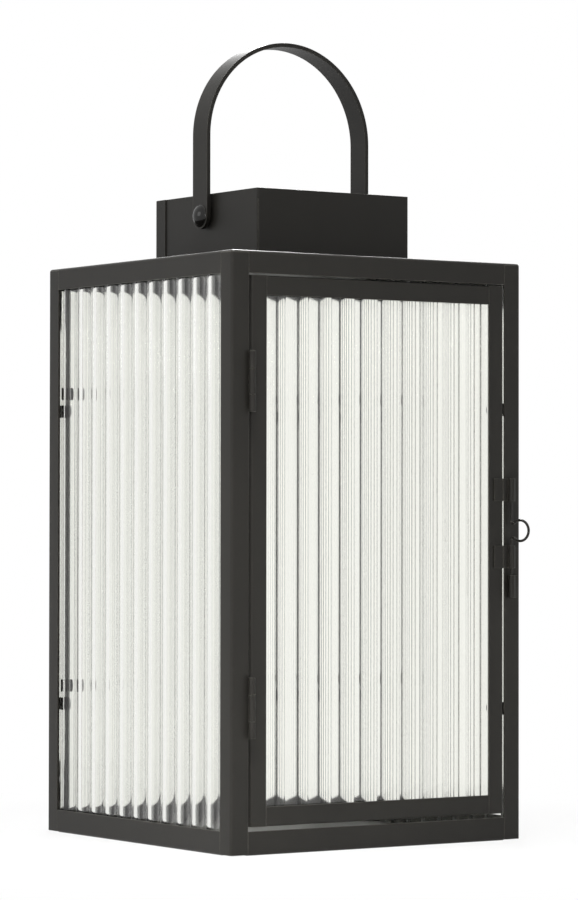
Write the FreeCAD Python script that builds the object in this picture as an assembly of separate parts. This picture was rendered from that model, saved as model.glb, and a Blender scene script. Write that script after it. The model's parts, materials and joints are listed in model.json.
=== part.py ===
import FreeCAD, Part
import math
import os

from FreeCAD import Placement, Rotation, Vector

# Candle lantern with fluted glass walls, a hinged glass door, a pin latch,
# a square chimney and a flat strap handle.
# Millimetres. +X is to the right, +Y to the back, +Z up; the door faces -Y.
# The origin is the middle of the footprint, on the surface it stands on.

# ---- body ---------------------------------------------------------------
BODY_WIDTH = 170.0            # outside of the posts, left to right
BODY_DEPTH = 170.0            # outside of the posts, front to back
BODY_HEIGHT = 284.0           # underside of the base to the top of the roof
NEAR = 1e-3                   # places closer than this count as the same
SHEET = 1.0                   # steel sheet of posts, pans and door frame
BEND_RADIUS = 1.5             # outside radius of a fold in that sheet
POST_FACE = 9.6               # width of each flange of a corner post
POST_LIFT = 0.4               # the posts stop this far above the underside
ROOF_FLANGE = 10.7            # turned-down edge of the roof pan
BASE_FLANGE = 11.3            # turned-up edge of the base pan
VENT_RADIUS = 30.0            # round heat outlet in the roof, below the chimney

# ---- chimney ------------------------------------------------------------
CHIMNEY_WIDTH = 90.0
CHIMNEY_DEPTH = 93.0
CHIMNEY_HEIGHT = 34.0
CHIMNEY_SHEET = 0.6
CHIMNEY_LIP = 4.0             # inward lip at the rim and foot flange at the roof
CHIMNEY_LAP = 9.5             # the back wall's flanges lap over the side walls
FOLD_CORNER = 2.0             # rounding of the back wall's top corners, at its folds
SEAM_WIDTH = 0.35             # groove of the seam down each front corner
SEAM_DEPTH = 0.3
SEAM_TOP = 5.5                # the seam starts this far below the rim

# ---- handle -------------------------------------------------------------
STRAP_WIDTH = 13.0
STRAP_THICKNESS = 2.0
STRAP_EDGE = 0.35             # rounded long edges of the strap
STRAP_STANDOFF = 1.6          # chimney wall to strap
HANDLE_RISE = 88.3            # pivot to the top of the strap
PIVOT_HEIGHT = 23.2           # pivot above the roof
RIVET_RADIUS = 2.0
RIVET_HEAD_RADIUS = 5.7
RIVET_HEAD_HEIGHT = 3.0
RIVET_HEAD_BANDS = 3          # conical bands that make up its dome
RIVET_TAIL_RADIUS = 3.2
RIVET_TAIL_HEIGHT = 1.2
RIVET_CLEARANCE = 0.05        # rivet shank in the strap's hole
SIDE_PLAY = 0.1               # washer, strap and rivet head, face to face
WASHER_RADIUS = 4.0

# ---- glass --------------------------------------------------------------
GLASS_THICKNESS = 4.0         # over the ridges
FLUTE_PITCH = 13.33
FLUTE_DEPTH = 1.2             # hollow of each flute, on the outer face
RIDGE_LAND = 0.5              # flat left between two flutes
GLASS_GAP = 0.3               # bedding gap between glass and steel
RIDGE_LEFT = 7.9              # from the middle of the pane to one of its ridges,
RIDGE_RIGHT = 3.3             # to the left as seen from inside
RIDGE_REAR = 10.0
RIDGE_DOOR = 10.0

# ---- bent tabs that hold the panes --------------------------------------
TAB_SHEET = 0.8
TAB_HEIGHT = 6.2
TAB_REACH = 4.2               # beyond the flange that a fixed pane sits behind
DOOR_TAB_REACH = 4.0          # from the stile's return flange, hidden behind its face
TAB_FOOT = 3.4                # foot of a door tab, along the return flange
TAB_END_RADIUS = 2.6
TAB_LOW = 68.9                # middle of the lower tabs above the underside
TAB_HIGH = 216.4              # middle of the upper tabs above the underside
TAB_STAGGER = 4.5             # side tabs sit lower and rear tabs higher

# ---- door ---------------------------------------------------------------
HINGE_GAP = 1.4               # post to door on the hinge side
LATCH_GAP = 0.8               # door to post on the latch side
DOOR_TOP_GAP = 0.85           # roof flange to door
DOOR_BOTTOM_GAP = 2.0         # door to base flange
STILE_FACE = 8.7
DOOR_RAIL_FACE = 9.25
DOOR_RETURN = 9.6             # depth of the door frame's turned-in flanges
DOOR_BEND = 1.2

# ---- hinges -------------------------------------------------------------
HINGE_UPPER = 222.2           # middle of the upper hinge above the underside
HINGE_LOWER = 69.1            # middle of the lower hinge above the underside
KNUCKLE_RADIUS = 1.65
OUTER_KNUCKLE = 8.0
MIDDLE_KNUCKLE = 12.0
KNUCKLE_GAP = 0.25            # between neighbouring knuckles
KNUCKLE_STANDOFF = 0.4        # knuckle to the faces of post and door
HINGE_PIN_RADIUS = 0.9
HINGE_PIN_CLEARANCE = 0.05    # in the door's knuckle
HINGE_PIN_SEAT = 0.02         # in the post's knuckles
PIN_HEAD_RADIUS = 1.3
PIN_HEAD_HEIGHT = 0.4
LEAF_SHEET = 0.5
LEAF_REACH = 2.8              # post leaf, along the back of the post's flange
DOOR_LEAF_DEPTH = 8.0         # door leaf, along the stile's return flange

# ---- latch --------------------------------------------------------------
LATCH_INSET = 6.8             # pin axis, inwards from the outside of the post
KEEPER_RADIUS = 1.72
KEEPER_HEIGHT = 11.1
KEEPER_SHEET = 0.7
KEEPER_STANDOFF = 0.38        # keeper to the post's face
KEEPER_TOP = 177.8            # top of the upper keeper on the door
KEEPER_DROP = 33.0            # upper to lower keeper on the door
FRAME_KEEPER_DROP = 47.5      # upper keeper to the keeper on the post
KEEPER_PLATE_LEFT = 9.6       # the door's keeper plates reach this far to the left
KEEPER_PLATE_RIGHT = 5.3      # the post's keeper plate reaches this far to the right
WIRE_RADIUS = 0.65
WIRE_SIDES = 8                # flats of the wire's section
WIRE_CLEARANCE = 0.08
PIN_ABOVE_FRAME_KEEPER = 0.4  # at rest the pin is lifted just clear of the post's keeper
LOOP_RADIUS = 5.1             # finger loop, centre line
LOOP_NECK_RADIUS = 1.0        # small bends where the loop leaves the pin
LOOP_NECK_HALF = 4.4          # loop centre to each of those bends
LOOP_ABOVE_LOWER_KEEPER = 7.4 # loop centre above the lower keeper's top
LOOP_TURN = 16.0              # the loop points outwards, turned this far to the right

# ---- worked-out places --------------------------------------------------
HALF_WIDTH = BODY_WIDTH / 2
HALF_DEPTH = BODY_DEPTH / 2
INNER_X = HALF_WIDTH - SHEET
INNER_Y = HALF_DEPTH - SHEET
FRONT_Y = -HALF_DEPTH

DOOR_LEFT = -HALF_WIDTH + POST_FACE + HINGE_GAP
DOOR_RIGHT = HALF_WIDTH - POST_FACE - LATCH_GAP
DOOR_CENTRE = (DOOR_LEFT + DOOR_RIGHT) / 2
DOOR_TOP = BODY_HEIGHT - ROOF_FLANGE - DOOR_TOP_GAP
DOOR_BOTTOM = BASE_FLANGE + DOOR_BOTTOM_GAP
DOOR_HEIGHT = DOOR_TOP - DOOR_BOTTOM

INNER_BEND = BEND_RADIUS - SHEET
TAB_DEPTH = GLASS_GAP + GLASS_THICKNESS + GLASS_GAP
PANE_INSET = TAB_DEPTH + TAB_SHEET + 2 * GLASS_GAP

HINGE_X = (DOOR_LEFT - HALF_WIDTH + POST_FACE) / 2
HINGE_Y = FRONT_Y - KNUCKLE_STANDOFF - KNUCKLE_RADIUS
HINGE_HEIGHT = 2 * OUTER_KNUCKLE + MIDDLE_KNUCKLE + 2 * KNUCKLE_GAP

LATCH_X = HALF_WIDTH - LATCH_INSET
LATCH_Y = FRONT_Y - KEEPER_STANDOFF - KEEPER_RADIUS
LOWER_KEEPER_TOP = KEEPER_TOP - KEEPER_DROP
FRAME_KEEPER_TOP = KEEPER_TOP - FRAME_KEEPER_DROP

PIVOT_Z = BODY_HEIGHT + PIVOT_HEIGHT
STRAP_INNER = CHIMNEY_WIDTH / 2 + STRAP_STANDOFF
STRAP_OUTER = STRAP_INNER + STRAP_THICKNESS
STRAP_ARC_Z = PIVOT_Z + HANDLE_RISE - STRAP_OUTER

UP = Vector(0, 0, 1)
ORIGIN = Vector(0, 0, 0)
SHAPES = {}


# ---- helpers ------------------------------------------------------------
def block(x0, x1, y0, y1, z0, z1):
    """Rectangular solid between two corners."""
    return Part.makeBox(x1 - x0, y1 - y0, z1 - z0, Vector(x0, y0, z0))


def rod(radius, x, y, z0, z1):
    """Upright cylinder."""
    return Part.makeCylinder(radius, z1 - z0, Vector(x, y, z0), UP)


def cross_rod(radius, x0, x1, z):
    """Cylinder along X, in the plane of the handle's pivots."""
    return Part.makeCylinder(radius, x1 - x0, Vector(x0, 0, z), Vector(1, 0, 0))


def turned(shape, angle, position=ORIGIN, axis=UP):
    """Copy of a shape, turned about an axis through the origin and then moved."""
    copy = shape.copy()
    copy.Placement = Placement(position, Rotation(axis, angle)).multiply(copy.Placement)
    return copy


def mirrored_x(shape):
    """Left-right mirror image."""
    return shape.mirror(ORIGIN, Vector(1, 0, 0))


def angle_bar(face, leg, bend, length):
    """L section: face along +X, leg along +Y, outer corner at the origin."""
    inner = bend - SHEET
    middle = bend * (1 - math.sqrt(0.5))
    inner_middle = SHEET + inner * (1 - math.sqrt(0.5))
    edges = [
        Part.makeLine(Vector(face, 0, 0), Vector(bend, 0, 0)),
        Part.Arc(Vector(bend, 0, 0), Vector(middle, middle, 0), Vector(0, bend, 0)).toShape(),
        Part.makeLine(Vector(0, bend, 0), Vector(0, leg, 0)),
        Part.makeLine(Vector(0, leg, 0), Vector(SHEET, leg, 0)),
        Part.makeLine(Vector(SHEET, leg, 0), Vector(SHEET, bend, 0)),
        Part.Arc(Vector(SHEET, bend, 0), Vector(inner_middle, inner_middle, 0),
                 Vector(bend, SHEET, 0)).toShape(),
        Part.makeLine(Vector(bend, SHEET, 0), Vector(face, SHEET, 0)),
        Part.makeLine(Vector(face, SHEET, 0), Vector(face, 0, 0)),
    ]
    return Part.Face(Part.Wire(edges)).extrude(Vector(0, 0, length))


def is_upright(edge):
    """True for a straight edge along Z."""
    return abs(edge.BoundBox.ZLength - edge.Length) < NEAR


def lies_at(edge, z):
    """True for an edge in the level plane z."""
    return abs(edge.BoundBox.ZMin - z) < NEAR and abs(edge.BoundBox.ZMax - z) < NEAR


def rounded_lid(width, depth, height, radius):
    """Box under z = 0 with rounded upright and top edges."""
    body = block(-width / 2, width / 2, -depth / 2, depth / 2, -height, 0)
    edges = [edge for edge in body.Edges if is_upright(edge) or lies_at(edge, 0)]
    return body.makeFillet(radius, edges)


def folded_pan(flange):
    """Pan folded from one sheet, open downwards, with its plate's top at z = 0."""
    outer = rounded_lid(BODY_WIDTH, BODY_DEPTH, flange, BEND_RADIUS)
    inner = rounded_lid(2 * INNER_X, 2 * INNER_Y, flange, BEND_RADIUS - SHEET)
    inner.translate(Vector(0, 0, -SHEET))
    return outer.cut(inner)


def corner_blocks(z0, z1):
    """The four square columns that the corner posts stand in."""
    columns = []
    for side in (-1, 1):
        for end in (-1, 1):
            xs = sorted((side * (HALF_WIDTH - POST_FACE), side * 2 * HALF_WIDTH))
            ys = sorted((end * (HALF_DEPTH - POST_FACE), end * 2 * HALF_DEPTH))
            columns.append(block(xs[0], xs[1], ys[0], ys[1], z0, z1))
    return columns


def wall_place(side):
    """Middle of a wall's inner sheet face at z = 0, with local +Y pointing inwards."""
    places = {
        "left": (Vector(-INNER_X, 0, 0), -90),
        "right": (Vector(INNER_X, 0, 0), 90),
        "rear": (Vector(0, INNER_Y, 0), 180),
        "door": (Vector(DOOR_CENTRE, -INNER_Y, 0), 0),
    }
    position, angle = places[side]
    return Placement(position, Rotation(UP, angle))


def put_on_wall(shape, side):
    """Copy of a shape, moved from the local frame of a wall to its place."""
    copy = shape.copy()
    copy.Placement = wall_place(side).multiply(copy.Placement)
    return copy


# ---- body ---------------------------------------------------------------
def make_posts():
    """Four corner angles, butted against the pans' flanges."""
    length = BODY_HEIGHT - SHEET - POST_LIFT
    bar = angle_bar(POST_FACE, POST_FACE, BEND_RADIUS, length)
    corners = {
        "post_front_left": (-HALF_WIDTH, -HALF_DEPTH, 0),
        "post_front_right": (HALF_WIDTH, -HALF_DEPTH, 90),
        "post_rear_right": (HALF_WIDTH, HALF_DEPTH, 180),
        "post_rear_left": (-HALF_WIDTH, HALF_DEPTH, 270),
    }
    for name, (x, y, angle) in corners.items():
        SHAPES[name] = turned(bar, angle, Vector(x, y, POST_LIFT))


def make_pans():
    """Roof pan over the posts and base pan between them."""
    roof = folded_pan(ROOF_FLANGE)
    roof = roof.cut(corner_blocks(-2 * ROOF_FLANGE, -SHEET))
    roof = roof.cut(rod(VENT_RADIUS, 0, 0, -2 * SHEET, SHEET))
    SHAPES["roof_pan"] = turned(roof, 0, Vector(0, 0, BODY_HEIGHT))
    base = folded_pan(BASE_FLANGE)
    base = base.cut(corner_blocks(-2 * BASE_FLANGE, SHEET))
    SHAPES["base_pan"] = turned(base, 180, ORIGIN, Vector(1, 0, 0))


def make_chimney():
    """Front and side walls seamed at the front corners, and a back wall that laps over them."""
    half_x = CHIMNEY_WIDTH / 2
    half_y = CHIMNEY_DEPTH / 2
    z0 = BODY_HEIGHT
    z1 = BODY_HEIGHT + CHIMNEY_HEIGHT
    sheet = CHIMNEY_SHEET
    lip_x = half_x - sheet - CHIMNEY_LIP
    lip_y = half_y - sheet - CHIMNEY_LIP
    shell = block(-half_x, half_x, -half_y, half_y - sheet, z0, z1)
    front_edges = [edge for edge in shell.Edges
                   if is_upright(edge) and edge.BoundBox.YMax < 0]
    shell = shell.makeFillet(BEND_RADIUS, front_edges)
    room = block(-half_x + sheet, half_x - sheet, -half_y + sheet, 2 * half_y,
                 z0 + sheet, z1 - sheet)
    front_edges = [edge for edge in room.Edges
                   if is_upright(edge) and edge.BoundBox.YMax < 0]
    room = room.makeFillet(BEND_RADIUS - sheet, front_edges)
    mouth = block(-lip_x, lip_x, -lip_y, 2 * half_y, z0 - sheet, z1 + sheet)
    rivet_holes = cross_rod(RIVET_RADIUS, -2 * half_x, 2 * half_x, PIVOT_Z)
    bend_middle = BEND_RADIUS * (1 - math.sqrt(0.5))
    groove = block(-SEAM_DEPTH, SEAM_DEPTH, -SEAM_WIDTH / 2, SEAM_WIDTH / 2, z0, z1 - SEAM_TOP)
    seams = [turned(groove, -45 * side,
                    Vector(side * (half_x - bend_middle), bend_middle - half_y, 0))
             for side in (-1, 1)]
    SHAPES["chimney_shell"] = shell.cut([room, mouth, rivet_holes] + seams)

    flange_y = half_y - CHIMNEY_LAP
    back = block(-half_x - sheet, half_x + sheet, flange_y, half_y, z0, z1)
    upright = [edge for edge in back.Edges
               if is_upright(edge) and edge.BoundBox.YMin > flange_y]
    back = back.makeFillet(BEND_RADIUS, upright)
    inside = block(-half_x, half_x, -half_y, half_y - sheet, z0 - sheet, z1 + sheet)
    back = back.cut(inside)
    round_y = half_y - FOLD_CORNER
    round_z = z1 - FOLD_CORNER
    for side in (-1, 1):
        x0, x1 = sorted((side * (half_x - sheet), side * (half_x + 2 * sheet)))
        corner = block(x0, x1, round_y, half_y, round_z, z1)
        round_end = Part.makeCylinder(FOLD_CORNER, x1 - x0, Vector(x0, round_y, round_z),
                                      Vector(1, 0, 0))
        back = back.cut(corner.cut(round_end))
    lip = block(-lip_x, lip_x, lip_y, half_y - sheet, z1 - sheet, z1)
    foot = block(-lip_x, lip_x, lip_y, half_y - sheet, z0, z0 + sheet)
    SHAPES["chimney_back"] = back.fuse([lip, foot]).removeSplitter()


# ---- glass --------------------------------------------------------------
def fluted_pane(width, z0, z1, ridge):
    """Pane with hollow flutes on its outer face and a flat inner face."""
    outer = GLASS_GAP
    slab = block(-width / 2, width / 2, outer, outer + GLASS_THICKNESS, z0, z1)
    half_chord = (FLUTE_PITCH - RIDGE_LAND) / 2
    flutes = []
    first = math.floor((-width / 2 - ridge) / FLUTE_PITCH)
    last = math.ceil((width / 2 - ridge) / FLUTE_PITCH)
    for index in range(first, last):
        middle = ridge + (index + 0.5) * FLUTE_PITCH
        left = Vector(middle - half_chord, outer, z0)
        deep = Vector(middle, outer + FLUTE_DEPTH, z0)
        right = Vector(middle + half_chord, outer, z0)
        outline = Part.Wire([Part.Arc(left, deep, right).toShape(), Part.makeLine(right, left)])
        flutes.append(Part.Face(outline).extrude(Vector(0, 0, z1 - z0)))
    return slab.cut(flutes)


def pane_tab(reach, foot_start, foot_end):
    """Bent strip from the corner at the origin, over a pane that runs along +X."""
    half = TAB_HEIGHT / 2
    leg = block(0, reach, TAB_DEPTH, TAB_DEPTH + TAB_SHEET, -half, half)
    end_edges = [edge for edge in leg.Edges
                 if edge.BoundBox.XMin > reach - NEAR and edge.BoundBox.ZLength < NEAR]
    leg = leg.makeFillet(TAB_END_RADIUS, end_edges)
    foot = block(0, TAB_SHEET, foot_start, foot_end, -half, half)
    return leg.fuse(foot).removeSplitter()


def pane_tabs(half_span, reach, foot_start, foot_end, rise):
    """Four tabs of one pane, in its wall's local frame."""
    tab = pane_tab(reach, foot_start, foot_end)
    tabs = []
    for level in (TAB_LOW, TAB_HIGH):
        for at_right in (False, True):
            piece = tab.copy()
            piece.translate(Vector(-half_span, 0, level + rise))
            if at_right:
                piece = mirrored_x(piece)
            tabs.append(piece)
    return Part.makeCompound(tabs)


def make_fixed_glass():
    """Three fixed panes with the tabs that hold them."""
    reach = POST_FACE - SHEET + TAB_REACH
    z0 = SHEET + GLASS_GAP
    z1 = BODY_HEIGHT - SHEET - GLASS_GAP
    walls = {"left": (INNER_Y, RIDGE_LEFT),
             "right": (INNER_Y, RIDGE_RIGHT),
             "rear": (INNER_X, RIDGE_REAR)}
    for side, (half_span, ridge) in walls.items():
        width = 2 * (half_span - PANE_INSET)
        pane = fluted_pane(width, z0, z1, ridge)
        SHAPES["pane_" + side] = put_on_wall(pane, side)
        rise = TAB_STAGGER if side == "rear" else -TAB_STAGGER
        tabs = pane_tabs(half_span, reach, INNER_BEND, TAB_DEPTH + TAB_SHEET, rise)
        SHAPES["pane_tabs_" + side] = put_on_wall(tabs, side)


# ---- door ---------------------------------------------------------------
def make_door_frame():
    """Two stiles and two rails, all angle bars with their legs turned inwards."""
    stile = angle_bar(STILE_FACE, DOOR_RETURN, DOOR_BEND, DOOR_HEIGHT)
    SHAPES["door_stile_hinge"] = turned(stile, 0, Vector(DOOR_LEFT, FRONT_Y, DOOR_BOTTOM))
    SHAPES["door_stile_latch"] = turned(mirrored_x(stile), 0,
                                        Vector(DOOR_RIGHT, FRONT_Y, DOOR_BOTTOM))
    left = DOOR_LEFT + STILE_FACE
    right = DOOR_RIGHT - STILE_FACE
    bar = angle_bar(DOOR_RAIL_FACE, DOOR_RETURN, DOOR_BEND, right - left)
    shelf_y = FRONT_Y + SHEET
    for name, z, angle, x in (("door_rail_top", DOOR_TOP, 90, left),
                              ("door_rail_bottom", DOOR_BOTTOM, -90, right)):
        rail = turned(bar, angle, Vector(x, FRONT_Y, z), Vector(0, 1, 0))
        inwards = -SHEET if angle > 0 else SHEET
        low, high = sorted((z, z + inwards))
        shelf = block(DOOR_LEFT + SHEET, DOOR_RIGHT - SHEET,
                      shelf_y + DOOR_BEND, FRONT_Y + DOOR_RETURN, low, high)
        SHAPES[name] = rail.fuse(shelf).removeSplitter()


def make_door_glass():
    """Door pane behind the door frame, with its own tabs."""
    half_span = (DOOR_RIGHT - DOOR_LEFT) / 2 - SHEET
    z0 = DOOR_BOTTOM + SHEET + GLASS_GAP
    z1 = DOOR_TOP - SHEET - GLASS_GAP
    pane = fluted_pane(2 * (half_span - GLASS_GAP), z0, z1, RIDGE_DOOR)
    SHAPES["door_pane"] = put_on_wall(pane, "door")
    tabs = pane_tabs(half_span, DOOR_TAB_REACH, TAB_DEPTH, TAB_DEPTH + TAB_FOOT, 0)
    SHAPES["door_pane_tabs"] = put_on_wall(tabs, "door")


# ---- hinges -------------------------------------------------------------
def knuckle(bore, z0, z1):
    """Rolled tube on the hinge axis, and the hole that is cut through it."""
    tube = rod(KNUCKLE_RADIUS, HINGE_X, HINGE_Y, z0, z1)
    hole = rod(bore, HINGE_X, HINGE_Y, z0 - KNUCKLE_GAP, z1 + KNUCKLE_GAP)
    return tube, hole


def make_hinge(name, middle):
    """Butt hinge: two knuckles on the post, one on the door, and a headed pin."""
    z0 = middle - HINGE_HEIGHT / 2
    z1 = middle + HINGE_HEIGHT / 2
    lower_end = z0 + OUTER_KNUCKLE
    upper_end = z1 - OUTER_KNUCKLE
    post_edge = -HALF_WIDTH + POST_FACE
    back_y = -INNER_Y

    leaf = block(post_edge, post_edge + LEAF_SHEET, FRONT_Y, back_y + LEAF_SHEET, z0, z1)
    wing = block(post_edge - LEAF_REACH, post_edge + LEAF_SHEET,
                 back_y, back_y + LEAF_SHEET, z0, z1)
    pieces = [wing]
    holes = []
    for low, high in ((z0, lower_end), (upper_end, z1)):
        tube, hole = knuckle(HINGE_PIN_RADIUS + HINGE_PIN_SEAT, low, high)
        tongue = block(post_edge, post_edge + LEAF_SHEET, HINGE_Y, FRONT_Y, low, high)
        pieces += [tube, tongue]
        holes.append(hole)
    post_leaf = leaf.fuse(pieces).cut(holes).removeSplitter()
    SHAPES["hinge_post_leaf_" + name] = post_leaf

    low, high = lower_end + KNUCKLE_GAP, upper_end - KNUCKLE_GAP
    leaf = block(DOOR_LEFT - LEAF_SHEET, DOOR_LEFT, FRONT_Y, FRONT_Y + DOOR_LEAF_DEPTH, z0, z1)
    tube, hole = knuckle(HINGE_PIN_RADIUS + HINGE_PIN_CLEARANCE, low, high)
    tongue = block(DOOR_LEFT - LEAF_SHEET, DOOR_LEFT, HINGE_Y, FRONT_Y, low, high)
    door_leaf = leaf.fuse([tube, tongue]).cut(hole).removeSplitter()
    SHAPES["hinge_door_leaf_" + name] = door_leaf

    pin = rod(HINGE_PIN_RADIUS, HINGE_X, HINGE_Y, z0, z1)
    head = rod(PIN_HEAD_RADIUS, HINGE_X, HINGE_Y, z1, z1 + PIN_HEAD_HEIGHT)
    SHAPES["hinge_pin_" + name] = pin.fuse(head).removeSplitter()


# ---- latch --------------------------------------------------------------
def keeper(plate, top):
    """Rolled tube on the latch axis, fused to its plate and bored for the wire."""
    bottom = top - KEEPER_HEIGHT
    tube = rod(KEEPER_RADIUS, LATCH_X, LATCH_Y, bottom, top)
    bore = rod(WIRE_RADIUS + WIRE_CLEARANCE, LATCH_X, LATCH_Y, bottom - SHEET, top + SHEET)
    return tube.fuse(plate).cut(bore).removeSplitter()


def make_keepers():
    """Two keepers on the door and one on the post."""
    for name, top in (("upper", KEEPER_TOP), ("lower", LOWER_KEEPER_TOP)):
        bottom = top - KEEPER_HEIGHT
        plate = block(LATCH_X - KEEPER_PLATE_LEFT, DOOR_RIGHT,
                      FRONT_Y - KEEPER_SHEET, FRONT_Y, bottom, top)
        raised_y = FRONT_Y - KEEPER_STANDOFF
        bridge = block(DOOR_RIGHT - KEEPER_SHEET, LATCH_X,
                       raised_y - KEEPER_SHEET, raised_y, bottom, top)
        SHAPES["latch_keeper_" + name] = keeper([plate, bridge], top)
    bottom = FRAME_KEEPER_TOP - KEEPER_HEIGHT
    plate = block(LATCH_X, LATCH_X + KEEPER_PLATE_RIGHT,
                  FRONT_Y - KEEPER_SHEET, FRONT_Y, bottom, FRAME_KEEPER_TOP)
    SHAPES["latch_frame_keeper"] = keeper([plate], FRAME_KEEPER_TOP)


def arc_point(centre, radius, degrees):
    """Point on a circle in the XZ plane."""
    angle = math.radians(degrees)
    return centre + Vector(radius * math.cos(angle), 0, radius * math.sin(angle))


def make_latch_wire():
    """One bent wire: straight pin, finger loop, straight pin."""
    loop_z = LOWER_KEEPER_TOP + LOOP_ABOVE_LOWER_KEEPER
    joined = LOOP_NECK_RADIUS + LOOP_RADIUS
    loop_out = LOOP_NECK_RADIUS + math.sqrt(joined ** 2 - LOOP_NECK_HALF ** 2)
    loop = Vector(loop_out, 0, loop_z)
    neck_angle = math.degrees(math.asin(LOOP_NECK_HALF / joined))
    upper = Vector(LOOP_NECK_RADIUS, 0, loop_z + LOOP_NECK_HALF)
    lower = Vector(LOOP_NECK_RADIUS, 0, loop_z - LOOP_NECK_HALF)
    upper_start = Vector(0, 0, upper.z)
    lower_start = Vector(0, 0, lower.z)
    upper_join = arc_point(upper, LOOP_NECK_RADIUS, -neck_angle)
    lower_join = arc_point(lower, LOOP_NECK_RADIUS, neck_angle)
    half_turn = (180 + neck_angle) / 2 + neck_angle / 2
    upper_middle = arc_point(upper, LOOP_NECK_RADIUS, 180 + half_turn / 2)
    lower_middle = arc_point(lower, LOOP_NECK_RADIUS, 180 - half_turn / 2)
    loop_far = arc_point(loop, LOOP_RADIUS, 0)
    top = Vector(0, 0, KEEPER_TOP)
    end = Vector(0, 0, FRAME_KEEPER_TOP + PIN_ABOVE_FRAME_KEEPER)
    path = Part.Wire([
        Part.makeLine(top, upper_start),
        Part.Arc(upper_start, upper_middle, upper_join).toShape(),
        Part.Arc(upper_join, loop_far, lower_join).toShape(),
        Part.Arc(lower_join, lower_middle, lower_start).toShape(),
        Part.makeLine(lower_start, end),
    ])
    corners = []
    for index in range(WIRE_SIDES + 1):
        angle = 2 * math.pi * index / WIRE_SIDES
        corners.append(top + Vector(math.cos(angle), math.sin(angle), 0) * WIRE_RADIUS)
    wire = path.makePipeShell([Part.makePolygon(corners)], True, False)
    flat_area = WIRE_SIDES / 2 * math.sin(2 * math.pi / WIRE_SIDES) * WIRE_RADIUS ** 2
    expected = flat_area * path.Length
    print("latch wire volume / section x length:", round(wire.Volume / expected, 4))
    SHAPES["latch_wire"] = turned(wire, LOOP_TURN - 90, Vector(LATCH_X, LATCH_Y, 0))


# ---- handle -------------------------------------------------------------
def make_handle():
    """Flat strap bent to a half circle, with straight legs and rounded ends."""
    half = STRAP_WIDTH / 2
    back = Vector(0, STRAP_WIDTH, 0)
    start = Vector(0, -half, 0)

    def arch(radius, z_end):
        """Filled arch of the given radius, in the XZ plane, as thick as the strap is wide."""
        left = Vector(-radius, 0, STRAP_ARC_Z) + start
        top = Vector(0, 0, STRAP_ARC_Z + radius) + start
        right = Vector(radius, 0, STRAP_ARC_Z) + start
        low_left = Vector(-radius, 0, z_end) + start
        low_right = Vector(radius, 0, z_end) + start
        outline = Part.Wire([Part.Arc(left, top, right).toShape(),
                             Part.makeLine(right, low_right),
                             Part.makeLine(low_right, low_left),
                             Part.makeLine(low_left, left)])
        return Part.Face(outline).extrude(back)

    low = PIVOT_Z - half
    strap = arch(STRAP_OUTER, low).cut(arch(STRAP_INNER, low - STRAP_WIDTH))
    end_edges = [edge for edge in strap.Edges
                 if lies_at(edge, low) and edge.BoundBox.XLength > edge.BoundBox.YLength]
    strap = strap.makeFillet(half - NEAR, end_edges)
    hole = cross_rod(RIVET_RADIUS + RIVET_CLEARANCE, -2 * STRAP_OUTER, 2 * STRAP_OUTER, PIVOT_Z)
    SHAPES["handle_strap"] = strap.cut(hole)


def rivet_head(x):
    """Dome with its flat side at x, turned about the rivet's axis."""
    ball = (RIVET_HEAD_RADIUS ** 2 + RIVET_HEAD_HEIGHT ** 2) / (2 * RIVET_HEAD_HEIGHT)
    rim_angle = math.asin(RIVET_HEAD_RADIUS / ball)
    base = Vector(x, 0, PIVOT_Z)
    points = [base]
    for band in range(RIVET_HEAD_BANDS + 1):
        angle = rim_angle * (1 - band / RIVET_HEAD_BANDS)
        out = RIVET_HEAD_HEIGHT - ball * (1 - math.cos(angle))
        points.append(base + Vector(out, 0, ball * math.sin(angle)))
    points.append(base)
    return Part.Face(Part.makePolygon(points)).revolve(base, Vector(1, 0, 0), 360)


def make_rivets():
    """Dome-headed rivets and the washers that space the strap off the chimney."""
    wall = CHIMNEY_WIDTH / 2
    inside = wall - CHIMNEY_SHEET
    head_x = STRAP_OUTER + SIDE_PLAY
    shank = cross_rod(RIVET_RADIUS, inside, head_x, PIVOT_Z)
    tail = cross_rod(RIVET_TAIL_RADIUS, inside - RIVET_TAIL_HEIGHT, inside, PIVOT_Z)
    rivet = shank.fuse([tail, rivet_head(head_x)]).removeSplitter()
    washer = cross_rod(WASHER_RADIUS, wall, STRAP_INNER - SIDE_PLAY, PIVOT_Z)
    washer = washer.cut(cross_rod(RIVET_RADIUS, 0, STRAP_OUTER, PIVOT_Z))
    SHAPES["handle_rivet_right"] = rivet
    SHAPES["handle_rivet_left"] = mirrored_x(rivet)
    SHAPES["handle_washer_right"] = washer
    SHAPES["handle_washer_left"] = mirrored_x(washer)


# ---- build --------------------------------------------------------------
make_posts()
make_pans()
make_chimney()
make_fixed_glass()
make_door_frame()
make_door_glass()
make_hinge("upper", HINGE_UPPER)
make_hinge("lower", HINGE_LOWER)
make_keepers()
make_latch_wire()
make_handle()
make_rivets()

os.makedirs("parts", exist_ok=True)
for node, shape in SHAPES.items():
    print(node, "solids", len(shape.Solids), "valid", shape.isValid(),
          "volume", round(shape.Volume, 1))
    shape.exportStep("parts/" + node + ".step")
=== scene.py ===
import json
from math import asin, atan, ceil, cos, floor, pi, radians, sin, sqrt

import bmesh
import bpy
from mathutils import Matrix, Vector

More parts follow.
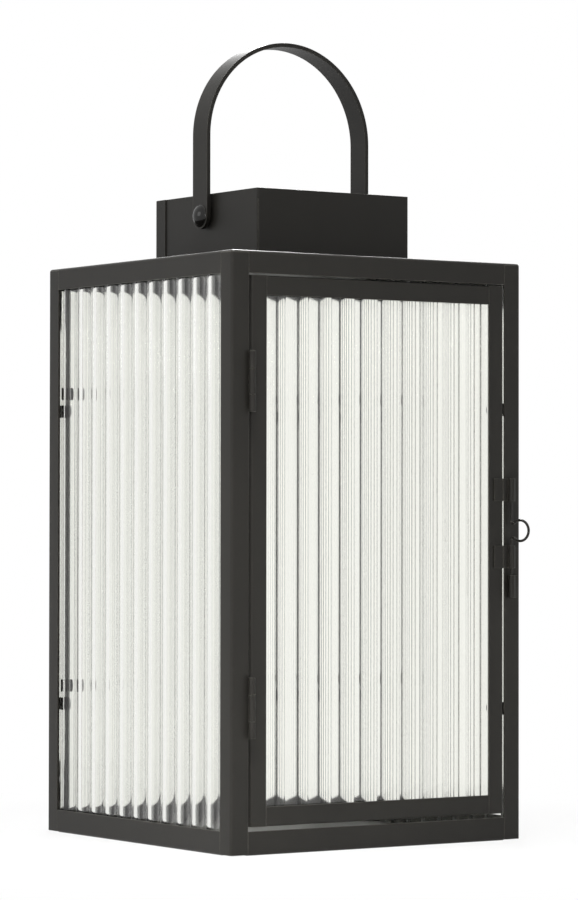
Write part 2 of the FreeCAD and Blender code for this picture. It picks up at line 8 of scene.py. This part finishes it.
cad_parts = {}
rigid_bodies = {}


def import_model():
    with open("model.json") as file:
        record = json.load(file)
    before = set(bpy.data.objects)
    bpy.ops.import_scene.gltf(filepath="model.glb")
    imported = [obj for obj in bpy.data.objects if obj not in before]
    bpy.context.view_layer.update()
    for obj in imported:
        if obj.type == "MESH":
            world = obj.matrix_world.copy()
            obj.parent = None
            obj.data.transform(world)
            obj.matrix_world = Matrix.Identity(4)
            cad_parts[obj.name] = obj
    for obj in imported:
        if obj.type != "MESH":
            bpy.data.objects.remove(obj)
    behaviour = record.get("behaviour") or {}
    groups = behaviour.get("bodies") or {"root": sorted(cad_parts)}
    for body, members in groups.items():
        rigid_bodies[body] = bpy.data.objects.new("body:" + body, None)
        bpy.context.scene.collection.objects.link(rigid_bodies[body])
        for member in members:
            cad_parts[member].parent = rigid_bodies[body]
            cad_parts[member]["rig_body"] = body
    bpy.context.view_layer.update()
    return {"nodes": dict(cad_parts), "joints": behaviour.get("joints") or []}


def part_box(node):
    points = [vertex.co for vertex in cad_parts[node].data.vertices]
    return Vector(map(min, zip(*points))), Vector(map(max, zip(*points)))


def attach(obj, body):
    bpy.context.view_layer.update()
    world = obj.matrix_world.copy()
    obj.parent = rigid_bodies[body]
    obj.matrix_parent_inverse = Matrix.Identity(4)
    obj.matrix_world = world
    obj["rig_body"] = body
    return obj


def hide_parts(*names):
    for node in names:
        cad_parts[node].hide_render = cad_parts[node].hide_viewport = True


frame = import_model()

MM = 0.001
UP = Vector((0, 0, 1))

# ---- flutes of the glass, as they show through each other -------------------
# The solid panes have hollows 1.2 mm deep with flats between them, and their
# ridges on the door and on the right lie 10 and 3.3 mm from the middle.
FLUTE_PITCH = 13.33 * MM
FLUTE_DEPTH = 1.4 * MM
RIDGE_RADIUS = 1.2 * MM
RIDGES = {                    # from the middle of the pane to one of its ridges
    "pane_left": 7.9 * MM,
    "pane_right": 6.3 * MM,
    "pane_rear": 10.0 * MM,
    "door_pane": 12.4 * MM,
}

# ---- sizes shared with the construction -------------------------------------
NECK_RADIUS = 1.0 * MM
NECK_HALF = 4.4 * MM
LOOP_RADIUS = 5.1 * MM
LOOP_TURN = radians(16.0)
LOOP_ABOVE_KEEPER = 7.4 * MM
STRAP_THICKNESS = 2.0 * MM
STRAP_HOLE = 2.05 * MM
RIVET_SHANK = 2.0 * MM
RIVET_TAIL = 3.2 * MM
RIVET_TAIL_HEIGHT = 1.2 * MM
RIVET_DOME = 3.0 * MM

# ---- round wire in place of the flat-sided solid one ------------------------
WIRE_RADIUS = 0.64 * MM
WIRE_TO_SIDE = 0.6 * MM       # from its middle to a flat side of the solid wire
WIRE_EDGE = 0.2 * MM

# ---- finish of the mesh ----------------------------------------------------
FLUTE_STEPS = 24
RIDGE_STEPS = 8
CIRCLE_STEPS = 48             # round the strap's eyes, the rivets and the finger loop
WIRE_STEPS = 20
SAME_PLACE = 0.01 * MM        # points closer than this count as one
CUT_EDGE = 0.16 * MM          # paint rounds the cut edges of the sheet by this much
STRAP_EDGE = 0.4 * MM
SHARP = radians(35)

# ---- camera ----------------------------------------------------------------
PICTURE_HEIGHT = 900.0        # pixels
FOCAL_PIXELS = 3585.0
CAMERA_PLACE = Vector((-999.6, -1488.9, 157.2)) * MM
CAMERA_YAW = radians(34.0)
CAMERA_PITCH = radians(1.12)
CAMERA_ROLL = radians(0.08)
SENSOR = 36.0

# ---- light -----------------------------------------------------------------
SKY_LIGHT = 0.12
FLOOR_COLOUR = (0.86, 0.86, 0.85)
FLOOR_SIZE = 12.0
FLOOR_DROP = 0.05 * MM        # the floor lies this far under the lantern
SHADOW_SHARE = 0.15           # how much of the lit floor shows beside the pure white
SHADOW_NEAR = 0.12            # metres from the middle: the shadow fades out from here
SHADOW_FAR = 0.3              # and is gone here


class Field:
    """A number that changes over a surface; Python's operators on it add the nodes."""

    def __init__(self, finish, socket):
        self.finish = finish
        self.socket = socket

    def maths(self, operation, first, second):
        return self.finish.node("ShaderNodeMath", {"operation": operation}, {0: first, 1: second})

    def __add__(self, other):
        return self.maths("ADD", self, other)

    def __rsub__(self, other):
        return self.maths("SUBTRACT", other, self)

    def __mul__(self, other):
        return self.maths("MULTIPLY", self, other)

    __radd__ = __add__
    __rmul__ = __mul__


class Finish:
    """A material, with one method that adds any node."""

    def __init__(self, name):
        self.material = bpy.data.materials.new(name)
        self.material.use_nodes = True
        self.tree = self.material.node_tree
        self.shader = self.tree.nodes["Principled BSDF"]

    def put(self, socket, value):
        if isinstance(value, Field):
            self.tree.links.new(value.socket, socket)
        elif isinstance(value, bpy.types.NodeSocket):
            self.tree.links.new(value, socket)
        else:
            socket.default_value = value

    def node(self, kind, settings, inputs, output=0):
        node = self.tree.nodes.new(kind)
        for key, value in settings.items():
            setattr(node, key, value)
        for key, value in inputs.items():
            self.put(node.inputs[key], value)
        return Field(self, node.outputs[output])

    def surface(self, **values):
        for key, value in values.items():
            self.put(self.shader.inputs[key.replace("_", " ")], value)

    def place(self, scale=(1, 1, 1)):
        """Object coordinates, stretched."""
        coordinates = self.node("ShaderNodeTexCoord", {}, {}, "Object")
        return self.node("ShaderNodeMapping", {}, {"Vector": coordinates, "Scale": scale})

    def noise(self, scale, detail=2.0, roughness=0.5, stretch=(1, 1, 1)):
        inputs = {"Vector": self.place(stretch), "Scale": scale,
                  "Detail": detail, "Roughness": roughness}
        return self.node("ShaderNodeTexNoise", {}, inputs)

    def ramp(self, value, low, high):
        """0 below low, 1 above high, smooth between."""
        inputs = {"Value": value, "From Min": low, "From Max": high}
        return self.node("ShaderNodeMapRange", {"interpolation_type": "SMOOTHSTEP"}, inputs)

    def blend(self, mask, first, second):
        """One colour where the mask is 0, the other where it is 1."""
        settings = {"data_type": "RGBA"}
        return self.node("ShaderNodeMix", settings, {0: mask, 6: first, 7: second}, 2)

    def edges(self, radius):
        """1 along bends and cut edges, 0 on flat faces."""
        rounded = self.node("ShaderNodeBevel", {"samples": 4}, {"Radius": radius})
        flat = self.node("ShaderNodeNewGeometry", {}, {}, "Normal")
        settings = {"operation": "DOT_PRODUCT"}
        alike = self.node("ShaderNodeVectorMath", settings, {0: rounded, 1: flat}, "Value")
        return self.ramp(1 - alike, 0.02, 0.25)

    def bump(self, height, distance, strength=1.0):
        inputs = {"Height": height, "Distance": distance, "Strength": strength}
        return self.node("ShaderNodeBump", {}, inputs)


def tint(colour, factor):
    """A paint colour, lighter or darker."""
    return tuple(channel * factor for channel in colour) + (1.0,)


def black_paint(name, colour, roughness, peel, sheen):
    """Sprayed paint: orange peel, faint clouds of tone, fine settled dust, and a painted highlight that
    lightens its edges and bends.
    """
    finish = Finish(name)
    clouds = finish.noise(22.0, 3.0)
    streaks = finish.noise(60.0, 2.0, stretch=(1, 1, 0.15))
    grain = finish.noise(1400.0, 3.0, 0.6)
    peeling = finish.noise(900.0, 2.0)
    dust = finish.ramp(finish.noise(2600.0, 1.0), 0.70, 0.80)
    tone = finish.ramp(clouds * 0.7 + streaks * 0.3, 0.25, 0.75)
    base = finish.blend(tone, tint(colour, 0.90), tint(colour, 1.10))
    base = finish.blend(dust * 0.25, base, tint(colour, 2.2))
    # painted highlight: edges and bends are lightened sixfold, standing in for light caught on them
    base = finish.blend(finish.edges(PAINTED_EDGE_HIGHLIGHT) * 0.8, base, tint(colour, 6.0))
    finish.surface(
        Base_Color=base,
        Roughness=roughness - 0.05 + clouds * 0.10 + grain * 0.04,
        IOR=1.5,
        Specular_IOR_Level=sheen,
        Normal=finish.bump(peeling * 0.8 + grain * 0.2, 0.05 * MM, peel),
    )
    return finish.material


def fluted_glass(name, tint):
    """Clear pressed glass with faint drawing lines along the flutes."""
    finish = Finish(name)
    lines = finish.noise(320.0, 2.0, stretch=(1, 1, 0.003))
    finish.surface(
        Base_Color=(*tint, 1.0),
        Roughness=0.05,
        IOR=1.5,
        Transmission_Weight=1.0,
        Normal=finish.bump(lines, 0.10 * MM, 0.05),
    )
    return finish.material


PAINT = (0.0255, 0.0238, 0.0205)
PAINT_SHEEN = 0.2
RIVET_SHEEN = 0.35
# how far the painted highlight reaches in from edges and bends
PAINTED_EDGE_HIGHLIGHT = 0.6 * MM
sheet_paint = black_paint("satin_black_paint", PAINT, 0.42, 0.5, PAINT_SHEEN)
rivet_paint = black_paint("gloss_black_paint", tint(PAINT, 0.35)[:3], 0.15, 0.15, RIVET_SHEEN)
wire_paint = black_paint("thin_black_paint", PAINT, 0.34, 0.3, PAINT_SHEEN)
# one glass in both: the faint warm cast is its own, the darker tint of the side and rear panes is painted
# shade
GLASSES = {
    "lantern": fluted_glass("fluted_clear_glass", (0.905, 0.91, 0.875)),
    "door": fluted_glass("fluted_clear_glass_door", (1.0, 1.0, 0.97)),
}


# ---- pieces ------------------------------------------------------------------
def finished(name, bm, material, body, nodes, edge=None):
    """Object from a bmesh, riding on its body in place of its nodes."""
    mesh = bpy.data.meshes.new(name)
    bm.to_mesh(mesh)
    bm.free()
    for polygon in mesh.polygons:
        polygon.use_smooth = True
    mesh.set_sharp_from_angle(angle=SHARP)
    piece = bpy.data.objects.new(name, mesh)
    bpy.context.scene.collection.objects.link(piece)
    mesh.materials.append(material)
    if edge:
        bevel = piece.modifiers.new("eased_edges", "BEVEL")
        bevel.width = edge
        bevel.segments = 2
        bevel.limit_method = "ANGLE"
        bevel.angle_limit = SHARP
        bevel.harden_normals = True
    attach(piece, body)
    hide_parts(*nodes)
    return piece


def verts_of(result, key="geom"):
    """The vertices among what an operator returns."""
    return [part for part in result[key] if isinstance(part, bmesh.types.BMVert)]


def edges_of(result, key="geom"):
    """The edges among what an operator returns."""
    return [part for part in result[key] if isinstance(part, bmesh.types.BMEdge)]


def faces_of(result, key="geom"):
    """The faces among what an operator returns."""
    return [part for part in result[key] if isinstance(part, bmesh.types.BMFace)]


def sheet_piece(node):
    """Sheet-metal node with merged facets, smooth bends and eased cut edges."""
    source = frame["nodes"][node]
    bm = bmesh.new()
    bm.from_mesh(source.data)
    bmesh.ops.remove_doubles(bm, verts=bm.verts, dist=0.002 * MM)
    bmesh.ops.dissolve_limit(bm, angle_limit=radians(1), verts=bm.verts, edges=bm.edges)
    body = source["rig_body"]
    return finished(node + "_painted", bm, sheet_paint, body, [node], CUT_EDGE)


def fluted_pane(node):
    """Pane with hollow flutes spun on its outer face and a flat inner face."""
    low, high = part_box(node)
    along_x = high.x - low.x > high.y - low.y
    middle = (low + high) / 2
    width = (high.x - low.x) if along_x else (high.y - low.y)
    thickness = (high.y - low.y) if along_x else (high.x - low.x)
    if node == "door_pane":
        turn, outside = 0, Vector((middle.x, low.y, low.z))
    elif node == "pane_rear":
        turn, outside = pi, Vector((middle.x, high.y, low.z))
    elif node == "pane_left":
        turn, outside = -pi / 2, Vector((low.x, middle.y, low.z))
    else:
        turn, outside = pi / 2, Vector((high.x, middle.y, low.z))
    slope = 2 * atan(2 * FLUTE_DEPTH / FLUTE_PITCH)
    hollow = FLUTE_PITCH / 2 / sin(slope) - RIDGE_RADIUS
    ridge = RIDGES[node]
    first = floor((-width / 2 - ridge) / FLUTE_PITCH)
    last = ceil((width / 2 - ridge) / FLUTE_PITCH)
    bm = bmesh.new()
    start = ridge + first * FLUTE_PITCH + RIDGE_RADIUS * sin(slope)
    end = bm.verts.new((start, RIDGE_RADIUS * (1 - cos(slope)), 0))
    for index in range(first, last):
        middle = ridge + (index + 0.5) * FLUTE_PITCH
        following = middle + FLUTE_PITCH / 2
        spun = bmesh.ops.spin(bm, geom=[end], cent=(middle, FLUTE_DEPTH - hollow, 0), axis=-UP,
                              angle=2 * slope, steps=FLUTE_STEPS)
        end = verts_of(spun, "geom_last")[0]
        spun = bmesh.ops.spin(bm, geom=[end], cent=(following, RIDGE_RADIUS, 0), axis=UP,
                              angle=2 * slope, steps=RIDGE_STEPS)
        end = verts_of(spun, "geom_last")[0]
    for side in (-1, 1):
        everything = bm.verts[:] + bm.edges[:]
        bmesh.ops.bisect_plane(bm, geom=everything, plane_co=(side * width / 2, 0, 0),
                               plane_no=(side, 0, 0), clear_outer=True)
    strip = bmesh.ops.extrude_edge_only(bm, edges=bm.edges[:])
    for vert in verts_of(strip):
        vert.co.y = thickness
    raised = bmesh.ops.extrude_face_region(bm, geom=bm.faces[:])
    bmesh.ops.translate(bm, verts=verts_of(raised), vec=(0, 0, high.z - low.z))
    bmesh.ops.recalc_face_normals(bm, faces=bm.faces)
    placed = Matrix.Translation(outside) @ Matrix.Rotation(turn, 4, UP)
    bmesh.ops.transform(bm, verts=bm.verts, matrix=placed)
    body = frame["nodes"][node]["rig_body"]
    return finished(node + "_fluted", bm, GLASSES[body], body, [node])


def level_edges(result, height):
    """The edges that lie at a height, among what an operator returns."""
    return [edge for edge in edges_of(result)
            if all(abs(vert.co.z - height) < SAME_PLACE for vert in edge.verts)]


def handle_strap():
    """Flat strap: an eye round each rivet, straight legs and a half-round top."""
    low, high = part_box("handle_strap")
    pivot = handle_pivot()
    half = (high.y - low.y) / 2
    outer = high.x
    inner = outer - STRAP_THICKNESS
    arc_z = high.z - outer
    to_leg = Matrix.Translation((-inner, 0, pivot)) @ Matrix.Rotation(pi / 2, 4, "Y")
    bm = bmesh.new()
    rim, hole = (bmesh.ops.create_circle(bm, radius=radius, segments=CIRCLE_STEPS, matrix=to_leg)["verts"]
                 for radius in (half, STRAP_HOLE))
    rim_edges = [edge for edge in bm.edges if edge.verts[0] in rim]
    hole_edges = [edge for edge in bm.edges if edge.verts[0] in hole]
    bmesh.ops.bridge_loops(bm, edges=rim_edges + hole_edges)
    top = [edge for edge in rim_edges
           if all(vert.co.z > pivot - SAME_PLACE for vert in edge.verts)]
    leg = bmesh.ops.extrude_edge_only(bm, edges=top)
    for vert in verts_of(leg):
        vert.co.z = pivot + half
    line = level_edges(leg, pivot + half)
    leg = bmesh.ops.extrude_edge_only(bm, edges=line)
    bmesh.ops.translate(bm, verts=verts_of(leg), vec=(0, 0, arc_z - pivot - half))
    line = level_edges(leg, arc_z)
    bmesh.ops.spin(bm, geom=line, cent=(0, 0, arc_z), axis=(0, 1, 0), angle=pi / 2, steps=40)
    everything = bm.verts[:] + bm.edges[:] + bm.faces[:]
    bmesh.ops.mirror(bm, geom=everything, merge_dist=SAME_PLACE, axis="X")
    bmesh.ops.recalc_face_normals(bm, faces=bm.faces)
    crown = max(bm.faces, key=lambda face: face.calc_center_median().z)
    if crown.normal.z < 0:
        bmesh.ops.reverse_faces(bm, faces=bm.faces)
    bmesh.ops.solidify(bm, geom=bm.faces[:], thickness=-STRAP_THICKNESS)
    bmesh.ops.recalc_face_normals(bm, faces=bm.faces)
    return finished("handle_strap_bar", bm, sheet_paint,
                    "handle", ["handle_strap"], STRAP_EDGE)


def handle_pivot():
    """Height of the rivets' axis."""
    return next(joint for joint in frame["joints"] if joint["name"] == "handle_swing")["pos_m"][2]


def handle_rivet(side):
    """Rivet turned about its axis: tail, shank and a smooth dome."""
    node = "handle_rivet_right" if side > 0 else "handle_rivet_left"
    low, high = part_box(node)
    pivot = handle_pivot()
    head = (high.z - low.z) / 2
    reach = max(abs(low.x), abs(high.x))
    tail_end = min(abs(low.x), abs(high.x))
    ball = (head ** 2 + RIVET_DOME ** 2) / (2 * RIVET_DOME)
    seat = reach - RIVET_DOME
    bm = bmesh.new()
    pole = bm.verts.new((reach, 0, pivot))
    dome = bmesh.ops.spin(bm, geom=[pole], cent=(reach - ball, 0, pivot), axis=(0, -1, 0),
                          angle=asin(head / ball), steps=16)
    last = verts_of(dome, "geom_last")[0]
    for x, radius in ((seat, RIVET_SHANK), (tail_end + RIVET_TAIL_HEIGHT, RIVET_SHANK),
                      (tail_end + RIVET_TAIL_HEIGHT, RIVET_TAIL), (tail_end, RIVET_TAIL), (tail_end, 0)):
        following = bm.verts.new((x, 0, pivot + radius))
        bm.edges.new((last, following))
        last = following
    bmesh.ops.spin(bm, geom=bm.verts[:] + bm.edges[:], cent=(0, 0, pivot), axis=(1, 0, 0),
                   angle=2 * pi, steps=CIRCLE_STEPS, use_merge=True)
    bmesh.ops.remove_doubles(bm, verts=bm.verts, dist=0.001 * MM)
    bmesh.ops.scale(bm, verts=bm.verts, vec=(side, 1, 1))
    bmesh.ops.recalc_face_normals(bm, faces=bm.faces)
    return finished(node + "_domed", bm, rivet_paint, "lantern", [node])


def latch_wire():
    """Round wire bent into a pin with a finger loop."""
    low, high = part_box("latch_wire")
    keeper_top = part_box("latch_keeper_lower")[1].z
    axis_x = low.x + WIRE_TO_SIDE
    axis_y = high.y - WIRE_TO_SIDE
    loop_z = keeper_top + LOOP_ABOVE_KEEPER
    joined = NECK_RADIUS + LOOP_RADIUS
    neck = asin(NECK_HALF / joined)
    loop_out = NECK_RADIUS + sqrt(joined ** 2 - NECK_HALF ** 2)
    bm = bmesh.new()
    bmesh.ops.create_circle(bm, cap_ends=True, radius=WIRE_RADIUS, segments=WIRE_STEPS,
                            matrix=Matrix.Translation((0, 0, high.z)))
    cap = bm.faces[:]

    def straight(cap, distance):
        drawn = bmesh.ops.extrude_face_region(bm, geom=cap)
        bmesh.ops.translate(bm, verts=verts_of(drawn), vec=(0, 0, -distance))
        return faces_of(drawn)

    def bent(cap, centre, angle, axis, steps):
        spun = bmesh.ops.spin(bm, geom=cap, cent=centre, axis=axis, angle=angle, steps=steps)
        return faces_of(spun, "geom_last")

    backwards, forwards = (0, -1, 0), (0, 1, 0)
    cap = straight(cap, high.z - loop_z - NECK_HALF)
    cap = bent(cap, (NECK_RADIUS, 0, loop_z + NECK_HALF), pi - neck, backwards, 12)
    cap = bent(cap, (loop_out, 0, loop_z), 2 * (pi - neck), forwards, CIRCLE_STEPS)
    cap = bent(cap, (NECK_RADIUS, 0, loop_z - NECK_HALF), pi - neck, backwards, 12)
    cap = straight(cap, loop_z - NECK_HALF - low.z)
    bmesh.ops.recalc_face_normals(bm, faces=bm.faces)
    turn = Matrix.Rotation(LOOP_TURN - pi / 2, 4, UP)
    bmesh.ops.transform(bm, verts=bm.verts, matrix=Matrix.Translation((axis_x, axis_y, 0)) @ turn)
    return finished("latch_wire_round", bm, wire_paint,
                    "latch", ["latch_wire"], WIRE_EDGE)


own_pieces = {"handle_strap", "handle_rivet_left", "handle_rivet_right", "latch_wire", *RIDGES}
for node_name in sorted(frame["nodes"]):
    if node_name not in own_pieces:
        sheet_piece(node_name)
for node_name in sorted(RIDGES):
    fluted_pane(node_name)
handle_strap()
handle_rivet(-1)
handle_rivet(1)
latch_wire()


# ---- surroundings --------------------------------------------------------------
def white_for_rays(tree, light, background):
    """Mix of two shaders: the second is what camera, mirror and glass rays see."""
    path = tree.nodes.new("ShaderNodeLightPath")
    seen = path.outputs["Is Camera Ray"]
    for kind in ("Is Glossy Ray", "Is Transmission Ray"):
        either = tree.nodes.new("ShaderNodeMath")
        either.operation = "MAXIMUM"
        tree.links.new(seen, either.inputs[0])
        tree.links.new(path.outputs[kind], either.inputs[1])
        seen = either.outputs[0]
    mix = tree.nodes.new("ShaderNodeMixShader")
    tree.links.new(seen, mix.inputs[0])
    tree.links.new(light, mix.inputs[1])
    tree.links.new(background, mix.inputs[2])
    return mix.outputs[0]


def studio_sky():
    """Even white light from all round."""
    world = bpy.data.worlds.new("studio_sky")
    bpy.context.scene.world = world
    world.use_nodes = True
    tree = world.node_tree
    light = tree.nodes["Background"]
    light.inputs["Color"].default_value = (1, 1, 1, 1)
    light.inputs["Strength"].default_value = SKY_LIGHT
    white = tree.nodes.new("ShaderNodeBackground")
    white.inputs["Color"].default_value = (1, 1, 1, 1)
    white.inputs["Strength"].default_value = 1.0
    mixed = white_for_rays(tree, light.outputs[0], white.outputs[0])
    tree.links.new(mixed, tree.nodes["World Output"].inputs["Surface"])


def studio_floor():
    """White floor that keeps the soft shadow of the object."""
    bm = bmesh.new()
    bmesh.ops.create_grid(bm, x_segments=1, y_segments=1, size=FLOOR_SIZE / 2)
    mesh = bpy.data.meshes.new("studio_floor")
    bm.to_mesh(mesh)
    bm.free()
    plane = bpy.data.objects.new("studio_floor", mesh)
    plane.location.z = -FLOOR_DROP
    bpy.context.scene.collection.objects.link(plane)
    finish = Finish("studio_floor")
    finish.surface(Base_Color=FLOOR_COLOUR + (1.0,), Roughness=0.9)
    glow = finish.tree.nodes.new("ShaderNodeEmission")
    glow.inputs["Strength"].default_value = 1.0
    settings = {"operation": "LENGTH"}
    distance = finish.node("ShaderNodeVectorMath", settings, {0: finish.place()}, "Value")
    away = finish.ramp(distance, SHADOW_NEAR, SHADOW_FAR)
    shadowed = finish.tree.nodes.new("ShaderNodeMixShader")
    finish.put(shadowed.inputs[0], away * SHADOW_SHARE + (1 - SHADOW_SHARE))
    finish.tree.links.new(finish.shader.outputs[0], shadowed.inputs[1])
    finish.tree.links.new(glow.outputs[0], shadowed.inputs[2])
    mixed = white_for_rays(finish.tree, finish.shader.outputs[0], shadowed.outputs[0])
    finish.tree.links.new(mixed, finish.tree.nodes["Material Output"].inputs["Surface"])
    mesh.materials.append(finish.material)


def soft_box(name, place, aim, size, power, sheen_only=False):
    """Large soft lamp, or one that only shows as a sheen on the paint."""
    lamp = bpy.data.lights.new(name, "AREA")
    lamp.shape = "SQUARE"
    lamp.size = size
    lamp.energy = power
    lamp_object = bpy.data.objects.new(name, lamp)
    lamp_object.location = place
    lamp_object.rotation_euler = (Vector(aim) - Vector(place)).to_track_quat("-Z", "Y").to_euler()
    lamp_object.visible_diffuse = not sheen_only
    bpy.context.scene.collection.objects.link(lamp_object)


def spot(name, place, aim, cone, power):
    """Soft-edged spot for a pool of light on the floor."""
    lamp = bpy.data.lights.new(name, "SPOT")
    lamp.spot_size = radians(cone)
    lamp.spot_blend = 1.0
    lamp.shadow_soft_size = 0.15
    lamp.energy = power
    lamp_object = bpy.data.objects.new(name, lamp)
    lamp_object.location = place
    lamp_object.rotation_euler = (Vector(aim) - Vector(place)).to_track_quat("-Z", "Y").to_euler()
    bpy.context.scene.collection.objects.link(lamp_object)


def camera():
    """Camera at the angle of the photograph."""
    flat = cos(CAMERA_PITCH)
    ahead = Vector((sin(CAMERA_YAW) * flat, cos(CAMERA_YAW) * flat, sin(CAMERA_PITCH)))
    level = Vector((cos(CAMERA_YAW), -sin(CAMERA_YAW), 0))
    above = level.cross(ahead)
    right = level * cos(CAMERA_ROLL) + above * sin(CAMERA_ROLL)
    upwards = above * cos(CAMERA_ROLL) - level * sin(CAMERA_ROLL)
    data = bpy.data.cameras.new("camera")
    data.sensor_fit = "VERTICAL"
    data.sensor_height = SENSOR
    data.lens = FOCAL_PIXELS * SENSOR / PICTURE_HEIGHT
    data.clip_start = 0.01
    view = bpy.data.objects.new("camera", data)
    turned = Matrix((right, upwards, -ahead)).transposed().to_4x4()
    view.matrix_world = Matrix.Translation(CAMERA_PLACE) @ turned
    bpy.context.scene.collection.objects.link(view)
    bpy.context.scene.camera = view


studio_sky()
studio_floor()
soft_box("lamp_overhead", (0.0, 0.1, 1.7), (0, 0, 0), 0.5, 14.0)
soft_box("lamp_camera_side", (-1.5, -1.9, 0.5), (0, 0, 0.2), 0.3, 5.0)
soft_box("lamp_left", (-2.4, 0.3, 0.9), (0, 0, 0.15), 1.2, 9.0)
soft_box("lamp_sheen", (0.8, 1.2, 1.5), (0, 0, 0.28), 0.4, 85.0, sheen_only=True)
spot("lamp_floor", (-0.45, -0.5, 1.6), (-0.22, -0.25, 0), 26.0, 205.0)
camera()
bpy.context.scene.view_settings.view_transform = "Standard"

bpy.context.view_layer.update()
